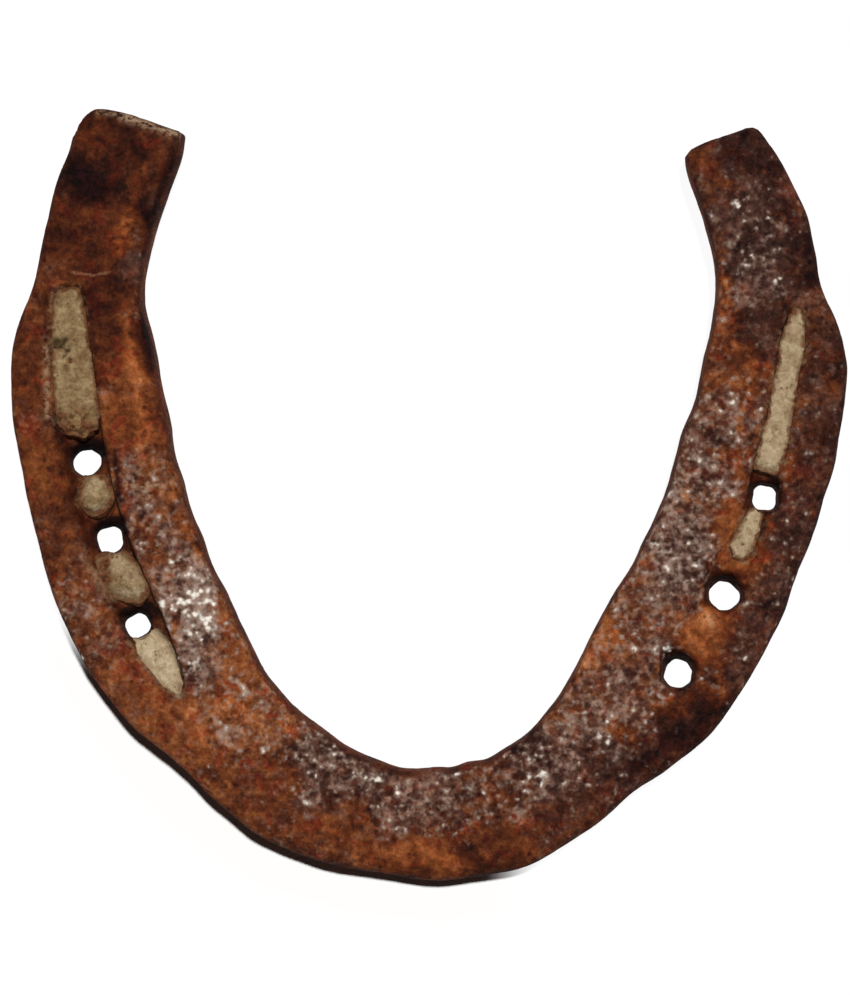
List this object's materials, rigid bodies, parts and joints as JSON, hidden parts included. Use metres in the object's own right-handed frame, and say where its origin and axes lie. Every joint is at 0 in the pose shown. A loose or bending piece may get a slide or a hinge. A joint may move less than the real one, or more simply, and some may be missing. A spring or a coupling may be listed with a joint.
{
  "type": "horseshoe",
  "caption": "Worn, rusted forged horseshoe with a nail crease in each branch, punched square nail holes and dried soil packed in the creases.",
  "frame": {"origin": "middle of the plan bounding box, on the flat hoof-side face", "axes": "+Z out of the ground side, where the creases are; +Y towards the two heels, -Y towards the toe; +X towards the right branch seen from the ground side"},
  "size_m": [0.1416, 0.1306, 0.0087],
  "materials": {
    "rusted_iron": "rough rusted forged iron, pitted, orange-brown to near black",
    "dried_soil": "matte dried sandy soil"
  },
  "bodies": {
    "root": {"shoe_bar": "rusted_iron", "packed_soil_left_heel_lower": "dried_soil", "packed_soil_left_heel_upper": "dried_soil", "packed_soil_left_mid": "dried_soil", "packed_soil_left_quarter": "dried_soil", "packed_soil_left_toe": "dried_soil", "packed_soil_right_heel": "dried_soil", "packed_soil_right_mid": "dried_soil"}
  },
  "joints": []
}
